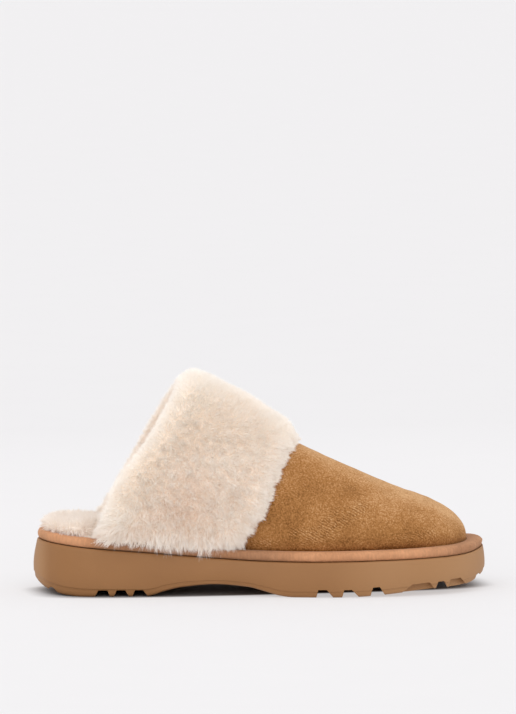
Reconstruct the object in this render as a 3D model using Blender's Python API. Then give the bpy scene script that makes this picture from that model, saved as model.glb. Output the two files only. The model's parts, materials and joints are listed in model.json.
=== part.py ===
"""Sheepskin slipper for the right foot, built as its maker puts it together.

A moulded lug sole carries a suede rand. Inside the rand lie the fleece insole and the bottom edge of
a hollow suede upper, and a turned-down fur cuff covers the back half of the upper.

The tables are in millimetres on the shoe's own lines: x runs forward from the back of the heel,
y is negative on the outer (lateral) side, z is up from the floor. The finished part is in metres,
with its origin on the floor under the middle of the sole and the toe towards +X.
"""

import math
from collections import namedtuple

import bmesh
import bpy
import numpy as np

MM = 0.001
GAP = 0.3
WELD = 1e-6
SMOOTH_BELOW_DEG = 40
SURFACE_STEP = 0.5
GIRTH_STEP = 0.004

# Driving sizes of the sole and of the rand around it
SOLE_LENGTH = 270.0
HEEL_ROUND = 38.0
HEEL_POWER = 2.2
TOE_ROUND = 62.0
TOE_POWER = 2.4
SOLE_STATIONS = 40
RAND_INSET = 2.4
RAND_WIDTH = 8.4
RAND_HEIGHT = 5.6
RAND_BULGE = 2.6
RAND_ARC_STEPS = 6
TOE_UPRIGHT = 0.55
TOE_UPRIGHT_FROM = 244.0
TOE_SLOPE = 7.0
WALL_WIDEST = 0.36
GROOVE_BELOW = 12.0
SCALLOP_OUTSIDE = 8.0

# Driving sizes of the upper and of the insole's fit in it
UPPER_WALL = 2.5
UPPER_INSET = RAND_INSET + RAND_WIDTH + GAP
INSIDE_UPPER = UPPER_INSET + UPPER_WALL + GAP
UPPER_TIP = SOLE_LENGTH - UPPER_INSET
COLLAR_X = 42.0
TOE_BOX_LENGTH = 26.0
TOE_BOX_POWER = 2.45
BELLY_SCALE = 6.75
UPPER_ROWS = 24
GIRTH_COLUMNS = 28
FLEECE_LOCK = 1.3

# Driving sizes of the cuff: its front edge, its fold round the collar and its locks
CUFF_FRONT_X = 121.0
CUFF_FRONT_ROUND = 0.16
CUFF_FRONT_POWER = 2.0
CUFF_EDGE = 1.5
CUFF_ROWS = 13
CUFF_BACK_ROWS = 10
FOLD_STEPS = 5
FOLD_LINING = 5.0
FOLD_THIN = 0.8
FOLD_REACH = 0.12
FOLD_CLEAR_LOW = 12.0
FOLD_CLEAR_HIGH = 28.0
CUFF_LOCK = 2.4
LOCK_SHORTEST = 0.5
LOCK_LONGEST = 1.3
LOCK_DROOP = 1.2
DROOP_LEAST = 0.7
HEM_DROOP = 8.5
HEM_FRONT = 3
LOCK_SEED = 7

# Half widths of the sole about a curved centre line, before the heel and the toe are rounded off
Plan = namedtuple("Plan", "x centre half_width")
PLAN = [
    Plan(0, -1.5, 38.5),
    Plan(50, -1.5, 40.0),
    Plan(95, -3.0, 40.0),
    Plan(135, -3.5, 43.5),
    Plan(175, -1.5, 50.5),
    Plan(200, 0.5, 51.5),
    Plan(235, 4.5, 50.5),
    Plan(270, 8.0, 48.5),
]

# Heights of the sole's top and of its tread: heel bevel, heel, arch, forefoot and toe spring
Side = namedtuple("Side", "x top bottom")
SIDE = [
    Side(0, 31.4, 8.0),
    Side(8, 30.8, 3.4),
    Side(18, 29.8, 0.9),
    Side(29, 28.7, 0.0),
    Side(64, 25.8, 0.0),
    Side(70, 25.4, 1.1),
    Side(76, 24.9, 3.2),
    Side(88, 23.9, 5.9),
    Side(107, 22.4, 7.4),
    Side(126, 21.2, 5.9),
    Side(136, 20.8, 3.3),
    Side(145, 20.6, 0.8),
    Side(153, 20.5, 0.0),
    Side(182, 20.7, 0.0),
    Side(205, 21.1, 1.2),
    Side(220, 21.4, 2.6),
    Side(236, 21.8, 3.8),
    Side(252, 22.3, 4.5),
    Side(258, 22.9, 5.2),
    Side(264, 24.0, 7.4),
    Side(270, 25.4, 10.2),
]

# How far the sole's side wall lies inside its widest line, from the tread edge up to the rand
Wall = namedtuple("Wall", "share inset")
WALL = [
    Wall(0.00, 2.4),
    Wall(0.05, 1.0),
    Wall(0.16, 0.6),
    Wall(0.18, 0.1),
    Wall(WALL_WIDEST, 0.0),
    Wall(0.62, 0.6),
    Wall(0.86, 1.7),
    Wall(0.97, 2.3),
    Wall(1.00, 3.1),
]

# Grooves across the tread, and scallops that only bite the reach given into the side wall
Groove = namedtuple("Groove", "start end lean_back lean_front depth reach")
ACROSS = 0.0
GROOVES = [
    Groove(8.5, 13.4, 0.8, 1.8, 2.0, ACROSS),
    Groove(35.4, 44.4, 2.0, 1.6, 4.0, ACROSS),
    Groove(46.6, 55.6, 1.7, 2.2, 4.0, ACROSS),
    Groove(57.6, 66.6, 1.4, 2.6, 4.0, ACROSS),
    Groove(165.9, 175.8, 1.0, 3.9, 4.7, ACROSS),
    Groove(181.2, 191.0, 1.0, 4.2, 4.6, ACROSS),
    Groove(198.0, 206.4, 1.3, 3.1, 5.1, ACROSS),
    Groove(217.0, 236.4, 6.0, 3.0, 4.3, 5.0),
    Groove(237.3, 244.4, 1.4, 1.9, 4.1, ACROSS),
    Groove(245.2, 256.2, 1.0, 3.5, 4.7, 4.0),
    Groove(262.4, 266.0, 0.8, 0.8, 2.2, ACROSS),
]

# The upper's line over the instep and toe, before the toe box is rounded down
Ridge = namedtuple("Ridge", "x z")
RIDGE = [
    Ridge(95, 120.5),
    Ridge(125, 104.2),
    Ridge(160, 85.9),
    Ridge(178, 77.3),
    Ridge(195, 69.9),
    Ridge(207, 64.6),
    Ridge(226, 56.8),
    Ridge(240, 51.8),
    Ridge(260, 45.6),
]

# Cross-sections of the upper: where each one stands on the sole, where its plane meets the instep
# line, how square its roof is, how far its sides belly out and how far the instep leans inward
Section = namedtuple("Section", "x ridge_x roof belly lean")
SECTIONS = [
    Section(COLLAR_X, 95.0, 2.5, 6.0, 2.0),
    Section(80, 127.0, 2.45, 5.0, 3.0),
    Section(119, 160.0, 2.4, 4.2, 4.0),
    Section(155, 185.0, 2.3, 3.4, 4.0),
    Section(190, 209.0, 2.25, 2.8, 3.0),
    Section(222, 231.5, 2.25, 2.2, 1.5),
    Section(UPPER_TIP, UPPER_TIP, 2.3, 1.5, 0.0),
]

# Depth of the cuff's fur from its turned collar (x 0) to its front edge (x 1)
Pile = namedtuple("Pile", "x depth")
PILE = [
    Pile(0.0, 11.5),
    Pile(0.4, 12.5),
    Pile(0.8, 10.5),
    Pile(1.0, 9.0),
]

# How far the cuff's front edge lies before or behind its mean line, over the girth (x 0 to 1)
Front = namedtuple("Front", "x shift")
FRONT = [
    Front(0.0, -1.5),
    Front(0.09, -0.5),
    Front(0.19, -5.5),
    Front(0.3, -8.0),
    Front(0.5, -7.0),
    Front(0.7, -8.0),
    Front(0.81, -5.5),
    Front(0.91, -0.5),
    Front(1.0, -1.5),
]

# How far the cuff's fold reaches behind the collar, as a share of a round fold, over the girth (x 0 to 1)
Fold = namedtuple("Fold", "x share")
FOLD = [
    Fold(0.0, 0.55),
    Fold(0.055, 1.42),
    Fold(0.09, 1.42),
    Fold(0.2, 0.95),
    Fold(0.72, 0.95),
    Fold(0.92, 0.7),
    Fold(1.0, 0.7),
]

# The insole's rings: inset from its own edge, and height as a share of the fleece's depth
Fleece = namedtuple("Fleece", "inset share")
FLEECE = [
    Fleece(0.0, 0.10),
    Fleece(-0.6, 0.40),
    Fleece(2.0, 0.72),
    Fleece(7.0, 0.93),
    Fleece(15.0, 1.0),
]

# The fleece along the foot: its depth above the rand, how far it flows over the rand, and its bed's inset
Footbed = namedtuple("Footbed", "x depth overlap edge")
FOOTBED = [
    Footbed(0, 8.5, 5.0, UPPER_INSET),
    Footbed(24, 10.0, 3.5, UPPER_INSET),
    Footbed(34, 10.5, -3.8, UPPER_INSET + 0.8),
    Footbed(COLLAR_X, 9.5, -3.5, INSIDE_UPPER),
    Footbed(90, 6.5, -2.0, INSIDE_UPPER),
    Footbed(150, 4.0, -2.0, INSIDE_UPPER),
    Footbed(SOLE_LENGTH, 3.0, -2.0, INSIDE_UPPER),
]


def along(rows, column, x):
    """Smooth curve through one column of a table that keeps flat stretches flat (monotone cubic)."""
    knots = np.array([row.x for row in rows], float)
    values = np.array([getattr(row, column) for row in rows], float)
    step = np.diff(knots)
    rise = np.diff(values) / step
    slope = np.zeros(len(knots))
    slope[0], slope[-1] = rise[0], rise[-1]
    product = rise[:-1] * rise[1:]
    total = np.where(product > 0, rise[:-1] + rise[1:], 1.0)
    slope[1:-1] = np.where(product > 0, 2 * product / total, 0.0)
    x = np.clip(np.asarray(x, float), knots[0], knots[-1])
    i = np.clip(np.searchsorted(knots, x, side="right") - 1, 0, len(step) - 1)
    t = (x - knots[i]) / step[i]
    ends = values[i] * (1 + 2 * t) * (1 - t) ** 2 + values[i + 1] * (3 - 2 * t) * t**2
    turns = slope[i] * t * (1 - t) ** 2 - slope[i + 1] * (1 - t) * t**2
    return ends + turns * step[i]


def ease(low, high, x):
    """0 below low, 1 above high and a soft ramp between them."""
    t = np.clip((np.asarray(x, float) - low) / (high - low), 0, 1)
    return t * t * (3 - 2 * t)


def end_round(distance, length, power):
    """Superellipse that brings a size to zero at the end of the shoe."""
    t = np.clip(1 - distance / length, 0, 1)
    return (1 - t**power) ** (1 / power)


# Lines of the shoe

def half_width(x):
    heel = end_round(x, HEEL_ROUND, HEEL_POWER)
    toe = end_round(SOLE_LENGTH - x, TOE_ROUND, TOE_POWER)
    return along(PLAN, "half_width", x) * heel * toe


def outline(inset, stations=SOLE_STATIONS):
    """Closed plan outline, moved inward by inset: heel, lateral side, toe tip, then the medial side."""
    x = SOLE_LENGTH * (1 - np.cos(np.pi * np.arange(stations + 1) / stations)) / 2
    centre, half = along(PLAN, "centre", x), half_width(x)
    lateral = np.stack([x, centre - half], 1)
    medial = np.stack([x, centre + half], 1)[-2:0:-1]
    points = np.concatenate([lateral, medial])
    tangent = np.roll(points, -1, 0) - np.roll(points, 1, 0)
    tangent /= np.linalg.norm(tangent, axis=1, keepdims=True)
    inward = np.stack([-tangent[:, 1], tangent[:, 0]], 1)
    return points + inward * np.reshape(inset, (-1, 1))


def sole_top(x):
    return along(SIDE, "top", x)


def sole_bottom(x):
    return along(SIDE, "bottom", x)


def rand_top(x):
    return sole_top(x) + GAP + RAND_HEIGHT


def upright():
    """Share of an inset that is left round the outline: less at the blunt toe, whose face stands upright."""
    return 1 - TOE_UPRIGHT * ease(TOE_UPRIGHT_FROM, SOLE_LENGTH, outline(0.0)[:, 0])


def wall_ring(inset, share):
    """Outline at a share of the sole's own height, upright at the toe above its widest line."""
    flat = outline(inset * upright() if share > WALL_WIDEST else inset)
    low, high = sole_bottom(flat[:, 0]), sole_top(flat[:, 0])
    return np.column_stack([flat, low + share * (high - low)])


def bed_ring(inset, lift):
    """Outline at a height above the bed that the sole's top gives."""
    flat = outline(inset)
    return np.column_stack([flat, sole_top(flat[:, 0]) + GAP + lift])


FINE_STATIONS = 400
WIDEST = outline(0.0, FINE_STATIONS)
MIDDLE = np.array([SOLE_LENGTH / 2, (WIDEST[:, 1].min() + WIDEST[:, 1].max()) / 2, 0.0])


# Meshes

def mesh_object(name, points, faces, material):
    """A mesh object, moved to the part's origin in metres, with its faces turned outward."""
    mesh = bpy.data.meshes.new(name)
    placed = (np.asarray(points, float) - MIDDLE) * MM
    mesh.from_pydata(placed.tolist(), [], [list(map(int, face)) for face in faces])
    shell = bmesh.new()
    shell.from_mesh(mesh)
    bmesh.ops.remove_doubles(shell, verts=shell.verts, dist=WELD)
    bmesh.ops.recalc_face_normals(shell, faces=shell.faces)
    shell.to_mesh(mesh)
    shell.free()
    mesh.materials.append(material)
    mesh.shade_smooth()
    mesh.set_sharp_from_angle(angle=math.radians(SMOOTH_BELOW_DEG))
    part = bpy.data.objects.new(name, mesh)
    bpy.context.scene.collection.objects.link(part)
    return part


def band_faces(rows, columns, close_rows=False, close_columns=True):
    """Quads of a grid of points, row by row, that may close on itself either way."""
    row = np.arange(rows if close_rows else rows - 1)
    column = np.arange(columns if close_columns else columns - 1)
    r, c = (grid.ravel() for grid in np.meshgrid(row, column, indexing="ij"))
    up, side = (r + 1) % rows, (c + 1) % columns
    return np.stack([r * columns + c, r * columns + side, up * columns + side, up * columns + c], 1)


def cap_faces(first):
    """Faces that close an outline ring straight across, from its lateral to its medial points."""
    count = 2 * SOLE_STATIONS
    faces = [[first, first + 1, first + count - 1]]
    for k in range(1, SOLE_STATIONS - 1):
        faces.append([first + k, first + k + 1, first + count - k - 1, first + count - k])
    faces.append([first + SOLE_STATIONS - 1, first + SOLE_STATIONS, first + SOLE_STATIONS + 1])
    return faces


def stacked_rings(rings):
    """Points and faces of a closed stack of outline rings, capped at both ends."""
    rows, columns = len(rings), len(rings[0])
    faces = band_faces(rows, columns).tolist()
    faces += cap_faces(0)
    faces += cap_faces((rows - 1) * columns)
    return np.concatenate(rings), faces


def grow_locks(part, chosen, length, droop, hem=()):
    """Draws each chosen face out to the tip of a lock, some longer, and the hem's locks hang down."""
    chance = np.random.default_rng(LOCK_SEED)
    shell = bmesh.new()
    shell.from_mesh(part.data)
    shell.faces.ensure_lookup_table()
    shell.normal_update()
    faces = [shell.faces[index] for index in chosen]
    reach = [face.normal.copy() * length * chance.uniform(LOCK_SHORTEST, LOCK_LONGEST) for face in faces]
    fall = [(HEM_DROOP if index in hem else droop) * chance.uniform(DROOP_LEAST, 1.0) for index in chosen]
    tips = bmesh.ops.poke(shell, faces=faces, center_mode="MEAN")["verts"]
    for tip, out, down in zip(tips, reach, fall):
        tip.co += out * MM
        tip.co.z -= down * MM
    shell.to_mesh(part.data)
    shell.free()


def finish(name, colour, roughness):
    material = bpy.data.materials.new(name)
    material.use_nodes = True
    shader = material.node_tree.nodes["Principled BSDF"]
    shader.inputs["Base Color"].default_value = (*colour, 1.0)
    shader.inputs["Roughness"].default_value = roughness
    shader.inputs["Metallic"].default_value = 0.0
    return material


# Sole, rand and insole

def groove_prism(groove, side):
    """Trapezoid groove under the tread line: right across, or a bite into one side (-1 is lateral)."""
    middle = (groove.start + groove.end) / 2
    edge = float(along(PLAN, "centre", middle) + side * half_width(middle))
    ends = (-SOLE_LENGTH, SOLE_LENGTH)
    if groove.reach:
        ends = (edge + side * SCALLOP_OUTSIDE, edge - side * groove.reach)
    profile = [
        (groove.start - groove.lean_back, -GROOVE_BELOW),
        (groove.start, 0.0),
        (groove.start + groove.lean_back, groove.depth),
        (groove.end - groove.lean_front, groove.depth),
        (groove.end, 0.0),
        (groove.end + groove.lean_front, -GROOVE_BELOW),
    ]
    count = len(profile)
    points = [(x, y, float(sole_bottom(x)) + z) for y in ends for x, z in profile]
    faces = [list(range(count)), list(range(2 * count - 1, count - 1, -1))]
    faces += [[k, (k + 1) % count, count + (k + 1) % count, count + k] for k in range(count)]
    return points, faces


def tread_cutter(material):
    """All the grooves and scallops as one helper mesh."""
    points, faces = [], []
    for groove in GROOVES:
        for side in (-1, 1) if groove.reach else (-1,):
            prism_points, prism_faces = groove_prism(groove, side)
            faces += [[index + len(points) for index in face] for face in prism_faces]
            points += prism_points
    cutter = mesh_object("tread_cutter", points, faces, material)
    cutter.hide_render = True
    cutter.display_type = "WIRE"
    return cutter


def outsole(material):
    rings = [wall_ring(wall.inset, wall.share) for wall in WALL]
    sole = mesh_object("outsole", *stacked_rings(rings), material)
    tread = sole.modifiers.new("tread", "BOOLEAN")
    tread.operation = "DIFFERENCE"
    tread.solver = "EXACT"
    tread.object = tread_cutter(material)


def rand(material):
    """Suede strip carried round the sole's edge: flat inside, half an ellipse outside, sloped at the toe."""
    inner = RAND_INSET + RAND_WIDTH
    rings = [bed_ring(inner, 0.0), bed_ring(inner, RAND_HEIGHT)]
    for turn in np.linspace(np.pi / 2, -np.pi / 2, RAND_ARC_STEPS + 1):
        bulge = RAND_BULGE + TOE_SLOPE * (1 - upright()) if turn > 0 else RAND_BULGE * upright()
        inset = RAND_INSET * (1 + upright()) / 2 + bulge * (1 - math.cos(turn))
        rings.append(bed_ring(inset, RAND_HEIGHT * (1 + math.sin(turn)) / 2))
    faces = band_faces(len(rings), len(rings[0]), close_rows=True)
    mesh_object("rand", np.concatenate(rings), faces, material)


def insole(material):
    """Fleece footbed: bedded inside the rand and the upper, domed and flowing over the rand at the heel."""
    x = outline(UPPER_INSET)[:, 0]
    edge = along(FOOTBED, "edge", x)
    pile_edge = edge - along(FOOTBED, "overlap", x)
    depth = along(FOOTBED, "depth", x)
    rings = [bed_ring(edge, 0.0), bed_ring(edge, RAND_HEIGHT + GAP)]
    for fleece in FLEECE:
        rings.append(bed_ring(pile_edge + fleece.inset, RAND_HEIGHT + GAP + fleece.share * depth))
    part = mesh_object("insole", *stacked_rings(rings), material)
    pile_faces = range(2 * len(x), (len(rings) - 1) * len(x))
    grow_locks(part, pile_faces, FLEECE_LOCK, 0.0)


# Upper and cuff

PLAN_EDGE = outline(UPPER_INSET, FINE_STATIONS)
LATERAL_EDGE = PLAN_EDGE[: FINE_STATIONS + 1]
MEDIAL_EDGE = np.concatenate([PLAN_EDGE[:1], PLAN_EDGE[: FINE_STATIONS - 1 : -1]])


def instep_height(x):
    """Height of the instep line above the floor, rounded down to the rand at the toe."""
    base = rand_top(x) + GAP
    toe = end_round(UPPER_TIP - x, TOE_BOX_LENGTH, TOE_BOX_POWER)
    return base + (along(RIDGE, "z", x) - base) * toe


def upper_surface(x, girth):
    """Outer face of the upper. x is where the section stands on the sole, girth 0 is its lateral foot,
    0.5 the instep line and 1 its medial foot. The section is a superellipse arch with bellied sides,
    in a plane that leans forward to the section's own point on the instep line."""
    x, girth = np.broadcast_arrays(np.asarray(x, float), np.asarray(girth, float))
    lateral = np.interp(x, LATERAL_EDGE[:, 0], LATERAL_EDGE[:, 1])
    medial = np.interp(x, MEDIAL_EDGE[:, 0], MEDIAL_EDGE[:, 1])
    roof = along(SECTIONS, "roof", x)
    ridge_x = along(SECTIONS, "ridge_x", x)
    base = rand_top(x) + GAP
    turn = np.pi * girth
    rise = np.sin(turn).clip(0, 1) ** (2 / roof)
    reach = np.sign(np.cos(turn)) * np.abs(np.cos(turn)) ** (2 / roof)
    toe = end_round(UPPER_TIP - x, TOE_BOX_LENGTH, TOE_BOX_POWER)
    belly = along(SECTIONS, "belly", x) * toe * BELLY_SCALE * rise * (1 - rise) ** 2
    middle = (lateral + medial) / 2 + along(SECTIONS, "lean", x) * rise
    y = middle - (medial - lateral) / 2 * reach - np.sign(reach) * belly
    z = base + rise * (instep_height(ridge_x) - base)
    return np.stack([x + rise * (ridge_x - x), y, z], -1)


def upper_normal(x, girth):
    """Unit direction straight out of the upper's face."""
    low, high = np.clip(girth - GIRTH_STEP, 0, 1), np.clip(girth + GIRTH_STEP, 0, 1)
    forward = upper_surface(x + SURFACE_STEP, girth) - upper_surface(x - SURFACE_STEP, girth)
    across = upper_surface(x, high) - upper_surface(x, low)
    normal = np.cross(forward, across)
    return normal / np.linalg.norm(normal, axis=-1, keepdims=True)


def fur_direction(x, girth, depth):
    """Out of the upper's face, but level where the face leans under, so that fur clears the rand."""
    normal = upper_normal(x, girth)
    normal[:, 2] = np.where(depth > 0, np.maximum(normal[:, 2], 0), normal[:, 2])
    return normal / np.linalg.norm(normal, axis=1, keepdims=True)


def upper(material):
    """Hollow suede wall, open at the collar and underneath, standing on the sole inside the rand."""
    share = np.sin(np.pi / 2 * np.arange(UPPER_ROWS + 1) / UPPER_ROWS)
    x = (COLLAR_X + (UPPER_TIP - COLLAR_X) * share)[:, None]
    girth = np.linspace(0, 1, GIRTH_COLUMNS + 1)[None, :]
    arch = upper_surface(x, girth)
    feet = arch[:, [0, -1]].copy()
    feet[..., 2] = sole_top(feet[..., 0]) + GAP
    grid = np.concatenate([feet[:, :1], arch, feet[:, 1:]], 1)
    rows, columns = grid.shape[:2]
    faces = band_faces(rows, columns, close_columns=False)
    part = mesh_object("upper", grid.reshape(-1, 3), faces, material)
    wall = part.modifiers.new("wall", "SOLIDIFY")
    wall.thickness = UPPER_WALL * MM
    wall.offset = -1.0
    wall.use_even_offset = True
    wall.use_quality_normals = True


def cuff_profile(girth):
    """The cuff's cut edge at one girth: rows of (share, beyond, depth) from the front edge over the fur,
    round the collar's fold, a little way inside, and back along the upper. Share runs from the collar to
    the front edge, beyond is the distance behind the collar, and depth is outward from the upper's face."""
    height = float(upper_surface(COLLAR_X, girth)[2] - rand_top(COLLAR_X))
    lining = FOLD_THIN + (FOLD_LINING - FOLD_THIN) * float(ease(FOLD_CLEAR_LOW, FOLD_CLEAR_HIGH, height))
    inside = -UPPER_WALL - GAP
    rows = []
    for share in np.linspace(1, 0, CUFF_ROWS):
        pile = float(along(PILE, "depth", share)) - CUFF_EDGE
        rounding = float(end_round(1 - share, CUFF_FRONT_ROUND, CUFF_FRONT_POWER))
        rows.append((share, 0.0, GAP + CUFF_EDGE + pile * rounding))
    outer_radius = rows[-1][2] + UPPER_WALL / 2
    inner_radius = lining + GAP + UPPER_WALL / 2
    reach = float(along(FOLD, "share", girth))
    for turn in np.linspace(0, np.pi, FOLD_STEPS + 1)[1:-1]:
        radius = outer_radius + (inner_radius - outer_radius) * turn / np.pi
        rows.append((0.0, reach * radius * math.sin(turn), radius * math.cos(turn) - UPPER_WALL / 2))
    rows.append((0.0, 0.0, inside - lining))
    fur_rows = len(rows)
    rows.append((FOLD_REACH, 0.0, inside - lining))
    rows.append((FOLD_REACH, 0.0, inside))
    rows.append((0.0, GAP, inside))
    rows.append((0.0, GAP, GAP))
    for share in np.linspace(0, 1, CUFF_BACK_ROWS):
        rows.append((share, 0.0, GAP))
    return np.array(rows), fur_rows


def fur_cuff(material):
    """Turned-down fur: one profile carried over the instep from the lateral to the medial side."""
    loops = []
    for girth in np.linspace(0, 1, GIRTH_COLUMNS + 1):
        profile, fur_rows = cuff_profile(girth)
        share, beyond, depth = profile.T
        front = CUFF_FRONT_X + float(along(FRONT, "shift", girth))
        x = COLLAR_X + share * (front - COLLAR_X)
        back = upper_surface(COLLAR_X, girth) - upper_surface(COLLAR_X + SURFACE_STEP, girth)
        back /= np.linalg.norm(back)
        out = fur_direction(x, girth, depth)
        loop = upper_surface(x, girth) + depth[:, None] * out + beyond[:, None] * back
        loop[:, 2] = np.maximum(loop[:, 2], rand_top(loop[:, 0]) + GAP)
        loops.append(loop)
    rows, columns = len(loops), len(loops[0])
    faces = band_faces(rows, columns).tolist()
    faces.append(list(range(columns)))
    faces.append(list(range((rows - 1) * columns, rows * columns)))
    part = mesh_object("fur_cuff", np.concatenate(loops), faces, material)
    furred = [row * columns + column for row in range(rows - 1) for column in range(fur_rows - 1)]
    outside = range(HEM_FRONT, CUFF_ROWS - 1)
    hem = {row * columns + column for row in (0, rows - 2) for column in outside}
    grow_locks(part, furred, CUFF_LOCK, LOCK_DROOP, hem)


def main():
    for leftover in list(bpy.data.objects):
        bpy.data.objects.remove(leftover)
    rubber = finish("moulded_sole_rubber", (0.37, 0.20, 0.092), 0.55)
    binding = finish("rand_suede", (0.53, 0.26, 0.135), 0.9)
    suede = finish("chestnut_suede", (0.37, 0.185, 0.063), 0.95)
    fleece = finish("footbed_fleece", (0.82, 0.72, 0.60), 1.0)
    fur = finish("cuff_fur", (0.80, 0.68, 0.56), 1.0)
    outsole(rubber)
    rand(binding)
    insole(fleece)
    upper(suede)
    fur_cuff(fur)


main()
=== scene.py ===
# %% [markdown]
# # A sheepskin slipper, dressed over its CAD frame
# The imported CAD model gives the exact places: a moulded sole, a suede rand, a fleece insole, a suede
# upper and a turned-down fur cuff. This lesson rebuilds each of them as a fine surface worked out
# with numpy from the same lines, then gives it wrinkles, fur and a finish. One shoe of the pair is
# built, the right one.

# %% Load the frame
import json
import math
import bmesh
import bpy
import numpy as np
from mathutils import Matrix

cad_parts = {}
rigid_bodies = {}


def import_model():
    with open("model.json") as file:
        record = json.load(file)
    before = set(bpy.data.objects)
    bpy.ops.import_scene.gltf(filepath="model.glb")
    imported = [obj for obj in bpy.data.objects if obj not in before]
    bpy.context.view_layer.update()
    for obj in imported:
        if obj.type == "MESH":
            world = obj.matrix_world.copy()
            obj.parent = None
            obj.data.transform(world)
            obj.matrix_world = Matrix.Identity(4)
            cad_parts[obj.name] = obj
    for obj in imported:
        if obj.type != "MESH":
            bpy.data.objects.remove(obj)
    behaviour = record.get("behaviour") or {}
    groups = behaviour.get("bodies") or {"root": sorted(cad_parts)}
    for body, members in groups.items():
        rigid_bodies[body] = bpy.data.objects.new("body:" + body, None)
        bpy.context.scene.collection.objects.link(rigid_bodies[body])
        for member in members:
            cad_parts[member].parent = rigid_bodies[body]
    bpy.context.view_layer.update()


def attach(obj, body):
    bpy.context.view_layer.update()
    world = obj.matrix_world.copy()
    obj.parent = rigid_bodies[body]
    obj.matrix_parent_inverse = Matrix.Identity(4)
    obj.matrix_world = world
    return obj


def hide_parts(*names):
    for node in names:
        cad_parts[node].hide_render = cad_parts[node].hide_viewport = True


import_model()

MM = 0.001

# %% [markdown]
# ## The shoe's own lines
# A shoemaker draws a plan, a side view and a row of cross-sections, and lofts the shoe through them.
# The same is done here: each table holds a few measured stations in millimetres, and a smooth curve
# runs through them. x runs forward from the back of the heel, y is negative on the outer side and z
# is up from the floor. A monotone cubic is chosen because it never overshoots a flat stretch.

# %% Tables and the curve through them
GAP = 0.3
SOLE_LENGTH = 270.0
PLAN = np.array([
    [0, -1.5, 38.5], [50, -1.5, 40.0], [95, -3.0, 40.0], [135, -3.5, 43.5],
    [175, -1.5, 50.5], [200, 0.5, 51.5], [235, 4.5, 50.5], [270, 8.0, 48.5],
])  # x, centre line, half width
SIDE = np.array([
    [0, 31.4, 8.0], [8, 30.8, 3.4], [18, 29.8, 0.9], [29, 28.7, 0.0], [64, 25.8, 0.0], [70, 25.4, 1.1],
    [76, 24.9, 3.2], [88, 23.9, 5.9], [107, 22.4, 7.4], [126, 21.2, 5.9], [136, 20.8, 3.3],
    [145, 20.6, 0.8], [153, 20.5, 0.0], [182, 20.7, 0.0], [205, 21.1, 1.2], [220, 21.4, 2.6],
    [236, 21.8, 3.8], [252, 22.3, 4.5], [258, 22.9, 5.2], [264, 24.0, 7.4], [270, 25.4, 10.2],
])  # x, top of the sole, tread line


def through(table, column, x):
    """Cubic through one column of a table: each piece is the Hermite blend of its end values and end
    slopes, and a slope is the harmonic mean of the rises beside it, or 0 where they change sign."""
    knots, values = table[:, 0], table[:, column]
    step = np.diff(knots)
    rise = np.diff(values) / step
    product = rise[:-1] * rise[1:]
    inner = np.where(product > 0, 2 * product / np.where(product > 0, rise[:-1] + rise[1:], 1), 0)
    slope = np.concatenate([rise[:1], inner, rise[-1:]])
    x = np.clip(np.asarray(x, float), knots[0], knots[-1])
    i = np.clip(np.searchsorted(knots, x, side="right") - 1, 0, len(step) - 1)
    t = (x - knots[i]) / step[i]
    ends = values[i] * (1 + 2 * t) * (1 - t) ** 2 + values[i + 1] * (3 - 2 * t) * t**2
    return ends + (slope[i] * t * (1 - t) ** 2 - slope[i + 1] * (1 - t) * t**2) * step[i]


def ease(low, high, x):
    """Soft ramp from 0 at low to 1 at high: 3t^2 - 2t^3 of the clipped share t."""
    t = np.clip((np.asarray(x, float) - low) / (high - low), 0, 1)
    return t * t * (3 - 2 * t)


def end_round(distance, length, power):
    """Superellipse quarter: (1 - (1 - d/L)^p)^(1/p), 0 at the end of the shoe and 1 past the length."""
    t = np.clip(1 - distance / length, 0, 1)
    return (1 - t**power) ** (1 / power)


print("sole", SOLE_LENGTH, "mm long, tread lifts", through(SIDE, 2, 270.0), "mm at the toe")

# %% Outline of the sole in plan
HEEL_ROUND, HEEL_POWER = 38.0, 2.2
TOE_ROUND, TOE_POWER = 62.0, 2.4
FINE = 400


def unit(vectors):
    """Vectors divided by their own lengths."""
    return vectors / np.linalg.norm(vectors, axis=-1, keepdims=True).clip(1e-9)


def stations(count):
    """Distances along the sole, close together at the heel and toe: L (1 - cos(pi t)) / 2."""
    return SOLE_LENGTH * (1 - np.cos(np.pi * np.linspace(0, 1, count + 1))) / 2


def outline(inset, x):
    """Closed ring round the sole: heel, outer side, toe, inner side, each point centre line plus or
    minus the rounded half width, then moved inward along the ring's own normal by the inset."""
    heel, toe = end_round(x, HEEL_ROUND, HEEL_POWER), end_round(SOLE_LENGTH - x, TOE_ROUND, TOE_POWER)
    centre, half = through(PLAN, 1, x), through(PLAN, 2, x) * heel * toe
    outer = np.stack([x, centre - half], 1)
    inner = np.stack([x, centre + half], 1)[-2:0:-1]
    ring = np.concatenate([outer, inner])
    tangent = unit(np.roll(ring, -1, 0) - np.roll(ring, 1, 0))
    return ring + np.stack([-tangent[:, 1], tangent[:, 0]], 1) * np.reshape(inset, (-1, 1))


WIDEST = outline(0.0, stations(FINE))
MIDDLE = np.array([SOLE_LENGTH / 2, (WIDEST[:, 1].min() + WIDEST[:, 1].max()) / 2, 0.0])
print("widest", np.ptp(WIDEST[:, 1]).round(1), "mm")

# %% [markdown]
# ## From arrays to meshes
# Every piece below ends as an array of points and arrays of faces. One function moves them from shoe
# millimetres to the frame's metres, turns closed shells so that their faces point outward, and puts
# them into a Blender mesh with foreach_set, which is quick.

# %% Mesh makers
WHOLE = {}


def add_object(name, data):
    """New object at the origin, in the scene."""
    made = bpy.data.objects.new(name, data)
    bpy.context.scene.collection.objects.link(made)
    return made


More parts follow.
